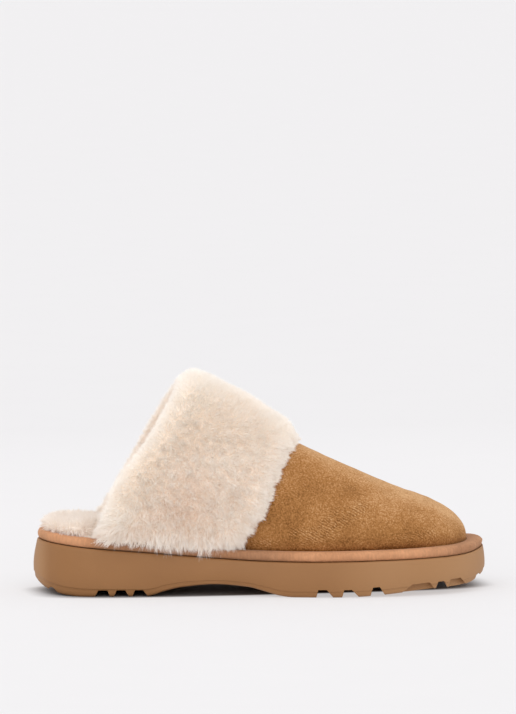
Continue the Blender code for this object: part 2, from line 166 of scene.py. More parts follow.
def mesh_piece(name, points, faces, node, attributes=None, closed=True, smooth=True):
    """Mesh object on the root body. A closed shell's signed volume, the sum over its corner triangles
    of a . (b x c) / 6, says which way it faces, and a negative one is turned round. An attribute is
    one value for all points or one for each."""
    placed = (np.asarray(points, float) - MIDDLE) * MM
    if closed:
        fans = [face[:, [0, k, k + 1]] for face in faces for k in range(1, face.shape[1] - 1)]
        a, b, c = np.moveaxis(placed[np.concatenate(fans)], 1, 0)
        if (a * np.cross(b, c)).sum() < 0:
            faces = [face[:, ::-1] for face in faces]
    corners = np.concatenate([face.ravel() for face in faces]).astype(np.int32)
    sizes = np.concatenate([np.full(len(face), face.shape[1]) for face in faces])
    mesh = bpy.data.meshes.new(name)
    mesh.vertices.add(len(placed))
    mesh.vertices.foreach_set("co", placed.astype(np.float32).ravel())
    mesh.loops.add(len(corners))
    mesh.loops.foreach_set("vertex_index", corners)
    mesh.polygons.add(len(sizes))
    mesh.polygons.foreach_set("loop_start", np.concatenate([[0], np.cumsum(sizes)[:-1]]).astype(np.int32))
    mesh.update(calc_edges=True)
    for title, values in (attributes or {}).items():
        layer = mesh.attributes.new(title, "FLOAT", "POINT")
        layer.data.foreach_set("value", np.resize(np.asarray(values, np.float32), len(placed)))
    if smooth:
        mesh.shade_smooth()
    else:
        mesh.shade_flat()
    piece = add_object(name, mesh)
    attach(piece, "root")
    if node:
        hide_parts(node)
    WHOLE[name] = int((sizes - 2).sum())
    print(name, len(placed), "points,", WHOLE[name], "triangles")
    return piece

# %% Faces of grids, and soft clouds
def band(rows, columns, close_rows=False, close_columns=False):
    """Quads of a grid of points, row by row, that may close on itself either way."""
    r, c = np.meshgrid(np.arange(rows if close_rows else rows - 1),
                       np.arange(columns if close_columns else columns - 1), indexing="ij")
    r, c = r.ravel(), c.ravel()
    up, side = (r + 1) % rows, (c + 1) % columns
    return np.stack([r * columns + c, up * columns + c, up * columns + side, r * columns + side], 1)


def lid(first, count):
    """Faces straight across an outline ring of count points, from its outer to its inner side."""
    half = count // 2
    k = np.arange(1, half - 1)
    quads = np.stack([first + k, first + k + 1, first + count - k - 1, first + count - k], 1)
    ends = np.array([[first, first + 1, first + count - 1],
                     [first + half - 1, first + half, first + half + 1]])
    return quads, ends


def capped(rings):
    """Faces of a stack of outline rings, closed by a lid at each end."""
    count, around = rings.shape[:2]
    last = [quads[:, ::-1] for quads in lid((count - 1) * around, around)]
    return [band(count, around, close_columns=True), *lid(0, around), *last]


def cloud(points, size, seed, waves=26):
    """Soft random field in space: a sum of sine waves with seeded directions and phases whose lengths
    lie near the given size in millimetres, scaled to a spread of about 1."""
    chance = np.random.default_rng(seed)
    pull = unit(chance.normal(size=(waves, 3))) * 2 * np.pi / (size * chance.uniform(0.7, 1.5, (waves, 1)))
    return np.sin(points @ pull.T + chance.uniform(0, 2 * np.pi, waves)).sum(-1) * math.sqrt(2 / waves)


print("a tube of 6 by 8 points has", len(band(6, 8, close_columns=True)), "quads")

# %% [markdown]
# ## Materials
# One function adds a node, sets its values, links its inputs and gives its output, and one turns sRGB
# hex into the linear light that shaders work with. A pattern's scale comes from its real size: the
# objects are in metres, so features of s mm repeat 1000 / s times.

# %% Node helper
def colour(code):
    """Linear RGBA of an sRGB hex code: each share c becomes c/12.92, or ((c + 0.055)/1.055)^2.4."""
    shares = np.array([int(code[k:k + 2], 16) for k in (1, 3, 5)]) / 255
    linear = np.where(shares <= 0.04045, shares / 12.92, ((shares + 0.055) / 1.055) ** 2.4)
    return (*linear.tolist(), 1.0)


def add_node(tree, kind, inputs=None, out=0, **settings):
    """Adds one node and gives its output of that number or name: settings are the node's properties,
    and an input takes a value, a colour's hex code or another node's output."""
    made = tree.nodes.new("ShaderNode" + kind)
    for key, value in settings.items():
        setattr(made, key, value)
    for key, value in (inputs or {}).items():
        if isinstance(value, bpy.types.NodeSocket):
            tree.links.new(value, made.inputs[key])
        else:
            made.inputs[key].default_value = colour(value) if isinstance(value, str) else value
    return made.outputs[out] if made.outputs else None


def new_finish(name):
    """Empty material, its node tree and the output that gives places on the object."""
    material = bpy.data.materials.new(name)
    material.use_nodes = True
    tree = material.node_tree
    tree.nodes.clear()
    print("finish", name)
    return material, tree, add_node(tree, "TexCoord", out="Object")


print("chestnut in linear light:", np.round(colour("#A87543"), 3))

# %% [markdown]
# ## The moulded sole
# The real sole is one block of foamed rubber from a mould: a matte brown side with a raised band just
# above the tread, a heel, an arch, a lifted toe whose face stands upright, and lugs cut across. It could
# be a block with Boolean cuts. Here it is a stack of rings instead: each ring is the outline at one
# height, and where a groove crosses the tread the ring's points are simply lifted to its ceiling.

# %% Sole rings
WALL = np.array([
    [0.00, 2.4], [0.05, 1.0], [0.16, 0.6], [0.18, 0.1], [0.36, 0.0],
    [0.62, 0.6], [0.86, 1.7], [0.97, 2.3], [1.00, 3.1],
])  # share of the height, how far the wall lies inside the widest line
GROOVES = np.array([
    [8.5, 13.4, 0.8, 1.8, 2.0, 99], [35.4, 44.4, 2.0, 1.6, 4.0, 99], [46.6, 55.6, 1.7, 2.2, 4.0, 99],
    [57.6, 66.6, 1.4, 2.6, 4.0, 99], [165.9, 175.8, 1.0, 3.9, 4.7, 99], [181.2, 191.0, 1.0, 4.2, 4.6, 99],
    [198.0, 206.4, 1.3, 3.1, 5.1, 99], [217.0, 236.4, 6.0, 3.0, 4.3, 5], [237.3, 244.4, 1.4, 1.9, 4.1, 99],
    [245.2, 256.2, 1.0, 3.5, 4.7, 4], [262.4, 266.0, 0.8, 0.8, 2.2, 99],
])  # start, end, lean of the back and the front wall, depth, how far in from the side it reaches
WALL_SHARES = (1, 0.985, 0.97, 0.92, 0.86, 0.74, 0.62, 0.5, 0.36, 0.27, 0.185, 0.178, 0.168, 0.16, 0.11,
               0.05, 0.025, 0)
WALL_WIDEST = 0.36
UNDER_INSETS = (3.2, 3.95, 4.05, 4.95, 5.05, 9.0)
TOE_UPRIGHT, TOE_UPRIGHT_FROM = 0.55, 244.0


def groove_height(x, inset):
    """Ceiling above the tread line: the highest of the grooves' trapezoids, each the depth times the
    smaller of its two wall ramps, and nothing further in than the groove reaches."""
    start, end, back, front, depth, reach = GROOVES.T[:, :, None]
    ramp = np.minimum((x - start) / back, (end - x) / front).clip(0, 1)
    return (depth * ramp * (inset <= reach)).max(0)


def upright(x):
    """Share of an inset that is left round the outline: 1, and less at the toe, whose face is upright."""
    return 1 - TOE_UPRIGHT * ease(TOE_UPRIGHT_FROM, SOLE_LENGTH, outline(0.0, x)[:, 0])


def sole_rings(x):
    """Rings from the sole's top edge down its wall, upright at the toe, and in under the tread."""
    rows = [(share, float(through(WALL, 1, share))) for share in WALL_SHARES]
    rows += [(0.0, inset) for inset in UNDER_INSETS]
    rings = []
    for share, inset in rows:
        flat = outline(inset * upright(x) if share > WALL_WIDEST else inset, x)
        low, high = through(SIDE, 2, flat[:, 0]), through(SIDE, 1, flat[:, 0])
        height = low + share * (high - low)
        rings.append(np.column_stack([flat, np.maximum(height, low + groove_height(flat[:, 0], inset))]))
    return np.array(rings)


print("grooves", len(GROOVES), "deepest", GROOVES[:, 4].max(), "mm")

# %% Sole piece
GROOVE_CORNERS = np.concatenate([
    GROOVES[:, 0], GROOVES[:, 1], GROOVES[:, 0] + GROOVES[:, 2], GROOVES[:, 1] - GROOVES[:, 3],
])
CORNER_STEP, SOLE_EDGE = 0.25, math.radians(38)
SOLE_X = np.unique(np.concatenate([
    stations(330), GROOVE_CORNERS, GROOVE_CORNERS - CORNER_STEP, GROOVE_CORNERS + CORNER_STEP]))
# Painted highlight on the sole: paler at the forefoot, the toe and the back of the heel.
SOLE_HIGHLIGHTS = [(165, 215, 0.7), (225, 262, 0.3), (10, 2, 0.9)]  # x where it starts and is full, how much


def ramps(x, rows):
    """Sum of soft ramps along the shoe, each row's amount times the ease from its first x to its second."""
    return sum(amount * ease(low, high, x) for low, high, amount in rows)


rings = sole_rings(SOLE_X)
sole = mesh_piece("sole_moulded", rings.reshape(-1, 3), capped(rings), "outsole",
                  {"sole_highlight": ramps(rings[..., 0], SOLE_HIGHLIGHTS)})
sole.data.set_sharp_from_angle(angle=SOLE_EDGE)

# %% [markdown]
# ### Moulded rubber
# Foamed rubber straight from a mould is matte, with the mould's fine grain. A painted highlight makes it
# paler at the forefoot, the toe and the back of the heel, and an attribute marks where. Its IOR is
# about 1.5. The grain of 0.3 mm is finer than a pixel of the photograph, so it is drawn at 0.9 mm, and
# broad soft clouds keep the brown from being one flat colour.

# %% Sole finish
RUBBER_CLOUD, RUBBER_GRAIN, GRAIN_DEPTH = 45, 0.9, 0.3  # millimetres
rubber, tree, place = new_finish("foamed_rubber_moulded")
shade = add_node(tree, "TexNoise", {"Vector": place, "Scale": 1000 / RUBBER_CLOUD, "Detail": 3.0})
grain = add_node(tree, "TexNoise", {"Vector": place, "Scale": 1000 / RUBBER_GRAIN, "Detail": 2.0})
brown = add_node(tree, "Mix", {0: shade, 6: "#875D36", 7: "#9A6D43"}, out=2, data_type="RGBA")
# The painted highlight turns the brown paler where the attribute marks it.
highlit = add_node(tree, "Attribute", out="Fac", attribute_name="sole_highlight")
surface_colour = add_node(tree, "Mix", {0: highlit, 6: brown, 7: "#A67C54"}, out=2, data_type="RGBA")
gloss = add_node(tree, "MapRange", {"Value": shade, "To Min": 0.50, "To Max": 0.62})
bump = add_node(tree, "Bump", {"Height": grain, "Strength": 0.25, "Distance": GRAIN_DEPTH * MM})
shader = add_node(tree, "BsdfPrincipled", {
    "Base Color": surface_colour, "Roughness": gloss, "IOR": 1.5, "Specular IOR Level": 0.3, "Normal": bump})
add_node(tree, "OutputMaterial", {"Surface": shader})
sole.data.materials.append(rubber)

# %% [markdown]
# ## The suede rand
# A narrow strip of suede is wrapped over a cord and stitched round the footbed's edge, so it is flat
# inside, round outside and slightly puckered where it bends. One cross-section, a half ellipse with a
# flat back, is carried round the outline, and its radius wavers a little along the way. Round the toe
# its top slopes and its foot stays flush with the sole.

# %% Rand ring
RAND_INSET, RAND_WIDTH, RAND_HEIGHT, RAND_BULGE = 2.4, 8.4, 5.6, 2.6
RAND_PUCKER, TOE_SLOPE = 0.16, 7.0
RAND_EDGE = math.radians(50)
WAVER = [(0.6, 4.0, 0.25, 21), (1.0, 18.0, 0.3, 22)]  # share, size along, how far drawn out in height, seed
# Painted shade on the strip: a little at the back of the heel, more at the toe, most under the cuff, where
# the fur's shadow falls.
RAND_SHADE = [(22, 46, 1.25), (133, 163, -1.25), (222, 257, 0.97), (14, 4, 0.25)]  # as for SOLE_HIGHLIGHTS


def bed_height(x):
    """Top of the sole plus the small gap that the upper parts stand on."""
    return through(SIDE, 1, x) + GAP


def rand_form(x):
    """Rows of rings: up the flat back, then over the half ellipse whose inset is bulge (1 - cos a) and
    whose height is half the rand's times (1 + sin a). The face wavers by a seeded cloud."""
    turn = np.linspace(np.pi / 2, -np.pi / 2, 17)
    lift = np.concatenate([[0.0, RAND_HEIGHT], RAND_HEIGHT * (1 + np.sin(turn)) / 2])
    inner, left = RAND_INSET + RAND_WIDTH, upright(x)
    bulge = np.where(turn[:, None] > 0, RAND_BULGE + TOE_SLOPE * (1 - left), RAND_BULGE * left)
    inset = RAND_INSET * (1 + left) / 2 + bulge * (1 - np.cos(turn[:, None]))
    inset = np.concatenate([np.full((2, len(left)), inner), inset])
    face = np.concatenate([[0.0, 0.0], np.cos(turn)])
    rows = []
    for into, up, out in zip(inset, lift, face):
        flat = outline(into, x)
        ring = np.column_stack([flat, bed_height(flat[:, 0]) + up])
        waver = sum(part * cloud(ring * [1, 1, draw], size, seed) for part, size, draw, seed in WAVER)
        rows.append(np.column_stack([outline(into - RAND_PUCKER * out * waver, x), ring[:, 2]]))
    return np.array(rows)


rings = rand_form(stations(460))
faces = [band(*rings.shape[:2], close_rows=True, close_columns=True)]
rand = mesh_piece("rand_wrapped", rings.reshape(-1, 3), faces, "rand",
                  {"rand_shade": ramps(rings[..., 0], RAND_SHADE)})
rand.data.set_sharp_from_angle(angle=RAND_EDGE)

# %% [markdown]
# ### Wrapped suede strip
# The strip is stretched over its cord, so its nap lies flat and shows fine wrinkles across it about a
# millimetre apart, more orange than the upper. The wrinkles are noise squeezed along the shoe and
# drawn 1.2 mm wide, because finer ones don't show at the photograph's size, and painted shade darkens
# their hollows. An attribute of painted shade darkens the strip as in the photograph: a little at the
# back of the heel, more at the toe, most under the cuff, where the fur's shadow falls.

# %% Rand finish
STRIP_CLOUD, PUCKER_DEPTH = 14, 0.6  # millimetres
STRIP_WRINKLE = (1.2, 1.2, 5.0)  # size of a wrinkle along x, y and z in millimetres
MOST_SHADE = 1.25
strip, tree, place = new_finish("suede_strip_wrapped")
squeeze = add_node(tree, "Mapping", {"Vector": place, "Scale": [1000 / size for size in STRIP_WRINKLE]})
pucker = add_node(tree, "TexNoise", {"Vector": squeeze, "Scale": 1.0, "Detail": 2.0})
shade = add_node(tree, "TexNoise", {"Vector": place, "Scale": 1000 / STRIP_CLOUD, "Detail": 3.0})
surface_colour = add_node(tree, "Mix", {0: shade, 6: "#B07A53", 7: "#D79D73"}, out=2, data_type="RGBA")
# Painted shade: this attribute darkens the strip, from 1.04 of its colour where there is none down to 0.65
# where it is most.
shading = add_node(tree, "Attribute", out="Fac", attribute_name="rand_shade")
fade = add_node(tree, "MapRange", {"Value": shading, "From Max": MOST_SHADE, "To Min": 1.04, "To Max": 0.65})
# Painted shade in the pucker hollows: the colour darkens where the wrinkle noise is low, besides its bump.
lines = add_node(tree, "MapRange", {
    "Value": pucker, "From Min": 0.3, "From Max": 0.7, "To Min": 0.82, "To Max": 1.06})
dim = add_node(tree, "Math", {0: lines, 1: fade}, operation="MULTIPLY")
tone = add_node(tree, "Mix", {0: 1.0, 6: surface_colour, 7: dim}, out=2, data_type="RGBA", blend_type="MULTIPLY")
bump = add_node(tree, "Bump", {"Height": pucker, "Strength": 0.5, "Distance": PUCKER_DEPTH * MM})
shader = add_node(tree, "BsdfPrincipled", {
    "Base Color": tone, "Roughness": 0.85, "IOR": 1.45, "Normal": bump,
    "Sheen Weight": 0.25, "Sheen Roughness": 0.5, "Sheen Tint": "#E8C19A"})
add_node(tree, "OutputMaterial", {"Surface": shader})
rand.data.materials.append(strip)

# %% [markdown]
# ## The suede upper
# The vamp is one piece of sheepskin with its suede side out, pulled over a last. Its form is a function
# of two parameters: x says where a cross-section stands on the sole, and girth runs from its outer foot
# (0) over the instep (0.5) to its inner foot (1). Each section is a superellipse arch with bellied sides
# that leans forward to its own point on the instep line.

# %% Upper tables
UPPER_WALL = 2.5
UPPER_INSET = RAND_INSET + RAND_WIDTH + GAP
UPPER_TIP = SOLE_LENGTH - UPPER_INSET
COLLAR_X = 42.0
TOE_BOX = (26.0, 2.45)
BELLY_SCALE = 6.75
SURFACE_STEP, GIRTH_STEP = 0.5, 0.004
RIDGE = np.array([
    [95, 120.5], [125, 104.2], [160, 85.9], [178, 77.3], [195, 69.9], [207, 64.6],
    [226, 56.8], [240, 51.8], [260, 45.6],
])  # x, height of the instep line
SECTIONS = np.array([
    [COLLAR_X, 95.0, 2.5, 6.0, 2.0], [80, 127.0, 2.45, 5.0, 3.0], [119, 160.0, 2.4, 4.2, 4.0],
    [155, 185.0, 2.3, 3.4, 4.0], [190, 209.0, 2.25, 2.8, 3.0], [222, 231.5, 2.25, 2.2, 1.5],
    [UPPER_TIP, UPPER_TIP, 2.3, 1.5, 0.0],
])  # x, instep point, roof power, belly, lean to the inner side
FOOT = outline(UPPER_INSET, stations(FINE))
OUTER_FOOT = FOOT[:FINE + 1]
INNER_FOOT = np.concatenate([FOOT[:1], FOOT[:FINE - 1:-1]])
print("upper runs from", COLLAR_X, "to", round(UPPER_TIP, 1), "mm")


# %% Upper surface
def rand_top(x):
    """Top of the rand: its bed plus its height."""
    return bed_height(x) + RAND_HEIGHT


def instep_height(x):
    """Height of the instep line: the ridge table above the rand, rounded down to it at the toe."""
    base = rand_top(x) + GAP
    return base + (through(RIDGE, 1, x) - base) * end_round(UPPER_TIP - x, *TOE_BOX)


def upper_surface(x, girth):
    """Outer face of the upper: with a = pi girth, it rises as sin(a)^(2/p) to the instep line, reaches
    sideways as cos(a)^(2/p) times the half width, and its sides swell by rise (1 - rise)^2."""
    x, girth = np.broadcast_arrays(np.asarray(x, float), np.asarray(girth, float))
    outer = np.interp(x, OUTER_FOOT[:, 0], OUTER_FOOT[:, 1])
    inner = np.interp(x, INNER_FOOT[:, 0], INNER_FOOT[:, 1])
    instep_x, roof, belly, lean = (through(SECTIONS, column, x) for column in (1, 2, 3, 4))
    base = rand_top(x) + GAP
    turn = np.pi * girth
    rise = np.sin(turn).clip(0, 1) ** (2 / roof)
    reach = np.sign(np.cos(turn)) * np.abs(np.cos(turn)) ** (2 / roof)
    belly = belly * end_round(UPPER_TIP - x, *TOE_BOX) * BELLY_SCALE * rise * (1 - rise) ** 2
    y = (outer + inner) / 2 + lean * rise - (inner - outer) / 2 * reach - np.sign(reach) * belly
    return np.stack([x + rise * (instep_x - x), y, base + rise * (instep_height(instep_x) - base)], -1)


def upper_normal(x, girth):
    """Unit direction out of the upper: the cross product of small steps forward and over the girth."""
    forward = upper_surface(x + SURFACE_STEP, girth) - upper_surface(x - SURFACE_STEP, girth)
    ahead, behind = np.clip(girth + GIRTH_STEP, 0, 1), np.clip(girth - GIRTH_STEP, 0, 1)
    return unit(np.cross(forward, upper_surface(x, ahead) - upper_surface(x, behind)))


print("instep", instep_height(SECTIONS[0, 1]).round(1), "mm high at the collar")

# %% [markdown]
# ### Creases, nap and painted light
# Soft sheepskin never lies quite flat. The main troughs and ridges are placed in the shoe's own sizes,
# each a soft furrow along a short line with a low swell beside it. The nap's light and dark patches,
# some of them painted highlight and painted shade, and the bands of fine wrinkles where the foot bends,
# are placed the same way and kept as attributes for the finish to read. With the patches go a painted
# highlight along the ridge, less of it at the top of the toe, and painted shade low on the sides and
# just above the rand.

# %% Creases and patches
CREASES = np.array([
    [150, 0.13, 176, 0.24, 3.0, 0.55], [163, 0.07, 188, 0.20, 2.6, 0.50], [140, 0.22, 158, 0.34, 4.0, 0.50],
    [176, 0.30, 196, 0.38, 5.0, 0.45], [196, 0.10, 214, 0.20, 3.4, 0.45], [128, 0.10, 140, 0.20, 3.0, 0.5],
    [214, 0.28, 226, 0.40, 4.5, 0.35], [150, 0.86, 178, 0.77, 3.2, 0.55], [172, 0.92, 192, 0.80, 2.8, 0.45],
    [142, 0.74, 160, 0.64, 4.0, 0.5], [200, 0.88, 216, 0.78, 3.4, 0.45], [182, 0.68, 200, 0.60, 5.0, 0.4],
])  # from x, girth to x, girth, then width and depth in millimetres
# The patches hold painted light as well as the nap's own tone: the light ones near the ridge and on the toe
# are painted highlight, the dark ones low by the rand painted shade.
PATCHES = np.array([
    [139, 43, 12, 14, -0.36], [224, 36, 13, 7, -0.50], [184, 32, 17, 5, -0.34], [156, 56, 10, 8, -0.22],
    [181, 62, 14, 6, -0.38], [152, 35, 12, 6, -0.28], [205, 36, 9, 5, -0.15], [175, 45, 13, 6, -0.50],
    [191, 56, 12, 6, 0.20], [248, 43, 13, 11, 0.48], [212, 55, 14, 5, 0.30], [157, 74, 9, 6, -0.35],
    [160, 35, 7, 6, 0.30], [214, 29, 10, 3, -0.35], [240, 33, 6, 4, -0.35],
])  # x, z, half length, half height in millimetres, then darker (-) or lighter (+)
WRINKLES = np.array([
    [161, 33, 178, 49, 3.2, 0.8], [168, 35, 193, 51, 4.2, 0.85], [154, 38, 160, 37, 3.2, 0.9],
    [128, 31, 142, 31, 2.0, 0.7], [215, 33, 236, 36, 3.0, 0.5], [152, 58, 162, 64, 4.0, 0.4],
])  # bands of short wrinkles where the skin flexes: from x, z to x, z, half width, strength
SWELLS = [(0.30, 26, 31), (0.10, 9, 32)]  # height and size in millimetres, seed
RIDGE_CALM, RIDGE_BREADTH = 0.6, 0.07
# Painted light in the nap: a highlight along the ridge, shade low on the sides and just above the rand, and
# less highlight at the top of the toe.
RIDGE_HIGHLIGHT, FOOT_SHADE, SEAM_SHADE = 0.75, 0.22, 0.9
TOE_LIGHT_X, TOE_SEAM_SHADE, TOE_HIGHLIGHT_CUT = (222, 240), 0.3, 0.30
print(len(CREASES), "creases,", len(PATCHES), "patches,", len(WRINKLES), "bands of wrinkles")


# %% Furrows, patches and bands
def to_line(points, start, end):
    """For each point, the share t of the way along the line from start to end, and the distance to it."""
    line = end - start
    t = ((points - start) @ line) / (line @ line)
    return t, np.linalg.norm(points - (start + np.clip(t, 0, 1)[..., None] * line), axis=-1)


def furrows(grid):
    """Depth of the creases at each point: along each line a soft furrow -exp(-(d/w)^2) with a swell of
    half its height beside it, fading at the line's two ends."""
    lift = np.zeros(grid.shape[:2])
    for x0, g0, x1, g1, width, depth in CREASES:
        t, apart = to_line(grid, upper_surface(x0, g0), upper_surface(x1, g1))
        fade = ease(-0.15, 0.3, t) * ease(1.15, 0.7, t)
        swell = 0.5 * np.exp(-(((apart - 2 * width) / width) ** 2))
        lift += depth * fade * (swell - np.exp(-((apart / width) ** 2)))
    return lift


def patchwork(grid, patches):
    """Sum of soft ellipses in side view: strength times exp(-((x-x0)/a)^2 - ((z-z0)/b)^2)."""
    x0, z0, a, b, strength = patches.T
    x, z = grid[..., 0, None], grid[..., 2, None]
    return (strength * np.exp(-(((x - x0) / a) ** 2) - ((z - z0) / b) ** 2)).sum(-1)


def wrinkle_bands(grid):
    """Strength of the wrinkles in side view: for each band exp(-(d/w)^2) of the distance d to its line."""
    strength = np.zeros(grid.shape[:2])
    for *ends, width, most in WRINKLES:
        apart = to_line(grid[..., [0, 2]], *np.reshape(ends, (2, 2)))[1]
        strength = np.maximum(strength, most * np.exp(-((apart / width) ** 2)))
    return strength


# %% Creases laid on the upper
x = (COLLAR_X + (UPPER_TIP - COLLAR_X) * np.sin(np.linspace(0, np.pi / 2, 181)))[:, None]
girth = np.linspace(0, 1, 141)[None, :]
arch = upper_surface(x, girth)
free = ease(0.0, 0.05, girth) * ease(1.0, 0.95, girth) * ease(UPPER_TIP, UPPER_TIP - 14, x)
soft = furrows(arch) + sum(high * cloud(arch, size, seed) for high, size, seed in SWELLS)
soft *= 1 - RIDGE_CALM * np.exp(-(((girth - 0.5) / RIDGE_BREADTH) ** 2))
arch = arch + (free * soft)[..., None] * upper_normal(x, girth)
feet = arch[:, [0, -1]].copy()
feet[..., 2] = bed_height(feet[..., 0])
grid = np.concatenate([feet[:, :1], arch, feet[:, 1:]], 1)
foot_line = rand_top(grid[..., 0])
rise = ((grid[..., 2] - foot_line) / (instep_height(grid[..., 0]) - foot_line).clip(3)).clip(0, 1)
toe = ease(*TOE_LIGHT_X, grid[..., 0])
# Painted light added to the patches: a highlight towards the ridge, less of it at the top of the toe, and
# painted shade low on the sides and in a band just above the rand.
nap_and_light = patchwork(grid, PATCHES) + RIDGE_HIGHLIGHT * ease(0.70, 1.0, rise) - FOOT_SHADE * ease(0.30, 0.0, rise)
nap_and_light -= TOE_HIGHLIGHT_CUT * toe * ease(0.88, 1.0, rise)
nap_and_light -= (SEAM_SHADE + (TOE_SEAM_SHADE - SEAM_SHADE) * toe) * ease(2.2, 0.6, grid[..., 2] - foot_line)
wrinkle = wrinkle_bands(grid)
print("creases lie", (free * soft).min().round(2), "to", (free * soft).max().round(2), "mm off the last")

# %% Upper piece
upper = mesh_piece("upper_suede", grid.reshape(-1, 3), [band(*grid.shape[:2])], "upper",
                   {"nap_and_light": nap_and_light, "wrinkle": wrinkle}, closed=False)
shell = bmesh.new()
shell.from_mesh(upper.data)
bmesh.ops.remove_doubles(shell, verts=shell.verts, dist=1e-6)
shell.to_mesh(upper.data)
shell.free()
wall = upper.modifiers.new("wall", "SOLIDIFY")
wall.thickness = UPPER_WALL * MM
wall.offset = -1.0

# %% [markdown]
# ### Brushed suede
# Suede is the flesh side of the skin, sanded to a short nap. It scatters light back softly, looks
# lighter where it was brushed towards the light and darker where it lies away, and has no gloss. Part
# of its light and dark comes from an attribute that holds the nap's own patches together with a
# painted highlight and painted shade. The clouds of nap are about 20 mm wide; the fibres, a tenth of a
# millimetre, are drawn at 1 mm to show, and the wrinkles are waves some 1.5 mm apart that show only in
# their bands.

# %% Suede finish
NAP_CLOUD, FIBRE, FIBRE_DEPTH = 22, 1.0, 0.7  # millimetres
NAP_AND_LIGHT_SHARE, CLOUD_SHARE, WRINKLE_SHARE, FIBRE_SHARE = 0.50, 1.1, 0.64, 2.3
DARKEST, LIGHTEST = 0.47, 1.91
suede, tree, place = new_finish("sheepskin_suede_brushed")
# This attribute holds the nap's own patches together with painted highlight and painted shade.
nap_and_painted_light = add_node(tree, "Attribute", out="Fac", attribute_name="nap_and_light")
flexed = add_node(tree, "Attribute", out="Fac", attribute_name="wrinkle")
clouds = add_node(tree, "TexNoise", {
    "Vector": place, "Scale": 1000 / NAP_CLOUD, "Detail": 5.0, "Roughness": 0.62})
fibres = add_node(tree, "TexNoise", {
    "Vector": place, "Scale": 1000 / FIBRE, "Detail": 3.0, "Roughness": 0.70})
slant = add_node(tree, "Mapping", {
    "Vector": place, "Rotation": (0.0, -0.5, 0.0), "Scale": (1000, 1000, 1000)})
creases = add_node(tree, "TexWave", {
    "Vector": slant, "Scale": 0.22, "Distortion": 6.5, "Detail": 2.0, "Detail Scale": 1.5},
    out="Fac", bands_direction="Z")
pitch = add_node(tree, "Math", {0: clouds, 1: -0.5}, operation="ADD")
swing = add_node(tree, "Math", {0: pitch, 1: CLOUD_SHARE}, operation="MULTIPLY")
lean = add_node(tree, "Math", {0: nap_and_painted_light, 1: NAP_AND_LIGHT_SHARE, 2: swing}, operation="MULTIPLY_ADD")
short = add_node(tree, "Math", {0: creases, 1: -0.5}, operation="ADD")
marks = add_node(tree, "Math", {0: short, 1: flexed}, operation="MULTIPLY")
# The wrinkle marks also lighten and darken the colour: painted light and shade on the wrinkles, besides
# their bump.
level = add_node(tree, "Math", {0: marks, 1: WRINKLE_SHARE, 2: lean}, operation="MULTIPLY_ADD")
fuzz = add_node(tree, "Math", {0: fibres, 1: FIBRE_SHARE, 2: level}, operation="MULTIPLY_ADD")
ramp = add_node(tree, "MapRange", {"Value": fuzz, "From Min": DARKEST, "From Max": LIGHTEST})
deep = add_node(tree, "MapRange", {"Value": ramp, "From Max": 0.5})
high = add_node(tree, "MapRange", {"Value": ramp, "From Min": 0.5})
dark = add_node(tree, "Mix", {0: deep, 6: "#6A411B", 7: "#A87543"}, out=2, data_type="RGBA")
tan = add_node(tree, "Mix", {0: high, 6: dark, 7: "#D8AD80"}, out=2, data_type="RGBA")
height = add_node(tree, "Math", {0: marks, 1: 0.9, 2: fibres}, operation="MULTIPLY_ADD")
bump = add_node(tree, "Bump", {"Height": height, "Strength": 0.6, "Distance": FIBRE_DEPTH * MM})
shader = add_node(tree, "BsdfPrincipled", {
    "Base Color": tan, "Roughness": 0.95, "IOR": 1.4, "Normal": bump, "Specular IOR Level": 0.2,
    "Sheen Weight": 0.35, "Sheen Roughness": 0.45, "Sheen Tint": "#EBC695"})
add_node(tree, "OutputMaterial", {"Surface": shader})
upper.data.materials.append(suede)

# %% [markdown]
# ## Fleece inside: insole and lining
# The footbed is a fleece pad that domes up at the open heel, and the same fleece lines the upper. The
# pad is a stack of rings like the sole, pulled in row by row, with a slightly uneven crown. The lining
# is the upper's surface moved inside its wall, thin at the foot and thicker above. Both are firm and
# glued down, so they are shaped here by tables and not by a simulation.

# %% Fleece forms
INSIDE_UPPER = UPPER_INSET + UPPER_WALL + GAP
FOOTBED = np.array([
    [0, 8.5, 5.0, UPPER_INSET], [24, 10.0, 3.5, UPPER_INSET], [34, 10.5, -3.8, UPPER_INSET + 0.8],
    [COLLAR_X, 9.5, -3.5, INSIDE_UPPER], [90, 6.5, -2.0, INSIDE_UPPER], [150, 4.0, -2.0, INSIDE_UPPER],
    [SOLE_LENGTH, 3.0, -2.0, INSIDE_UPPER],
])  # x, depth above the rand, flow over the rand, inset of the bed
DOME = np.array([
    [0, 0.0, 0.10], [1, -0.6, 0.40], [2, 2.0, 0.72], [3, 7.0, 0.93], [4, 15.0, 1.0],
])  # step up the pad, inset, share of the depth
FLEECE_BARE, LEAST_FLEECE = 2.6, 0.4
PAD_LUMP, PAD_LUMP_SIZE = 0.5, 17


def insole_form(x):
    """Rings of the pad: up its bedded side, then over the dome whose inset and height come from the
    dome table, with the fleece's own length left off for its fibres and a cloud for its unevenness."""
    flat = outline(UPPER_INSET, x)[:, 0]
    depth, flow, edge = (through(FOOTBED, column, flat) for column in (1, 2, 3))
    step = np.linspace(0, 4, 15)
    insets = [edge, edge] + [edge - flow + FLEECE_BARE * 0.5 + through(DOME, 1, s) for s in step]
    lifts = [0 * depth, 0 * depth + RAND_HEIGHT + GAP]
    lifts += [RAND_HEIGHT + GAP + (through(DOME, 2, s) * (depth - FLEECE_BARE)).clip(0.2) for s in step]
    rings = []
    for inset, lift in zip(insets, lifts):
        plan = outline(inset, x)
        rings.append(np.column_stack([plan, bed_height(plan[:, 0]) + lift]))
    rings = np.array(rings)
    rings[4:, :, 2] += PAD_LUMP * cloud(rings[4:], PAD_LUMP_SIZE, 41)
    return rings


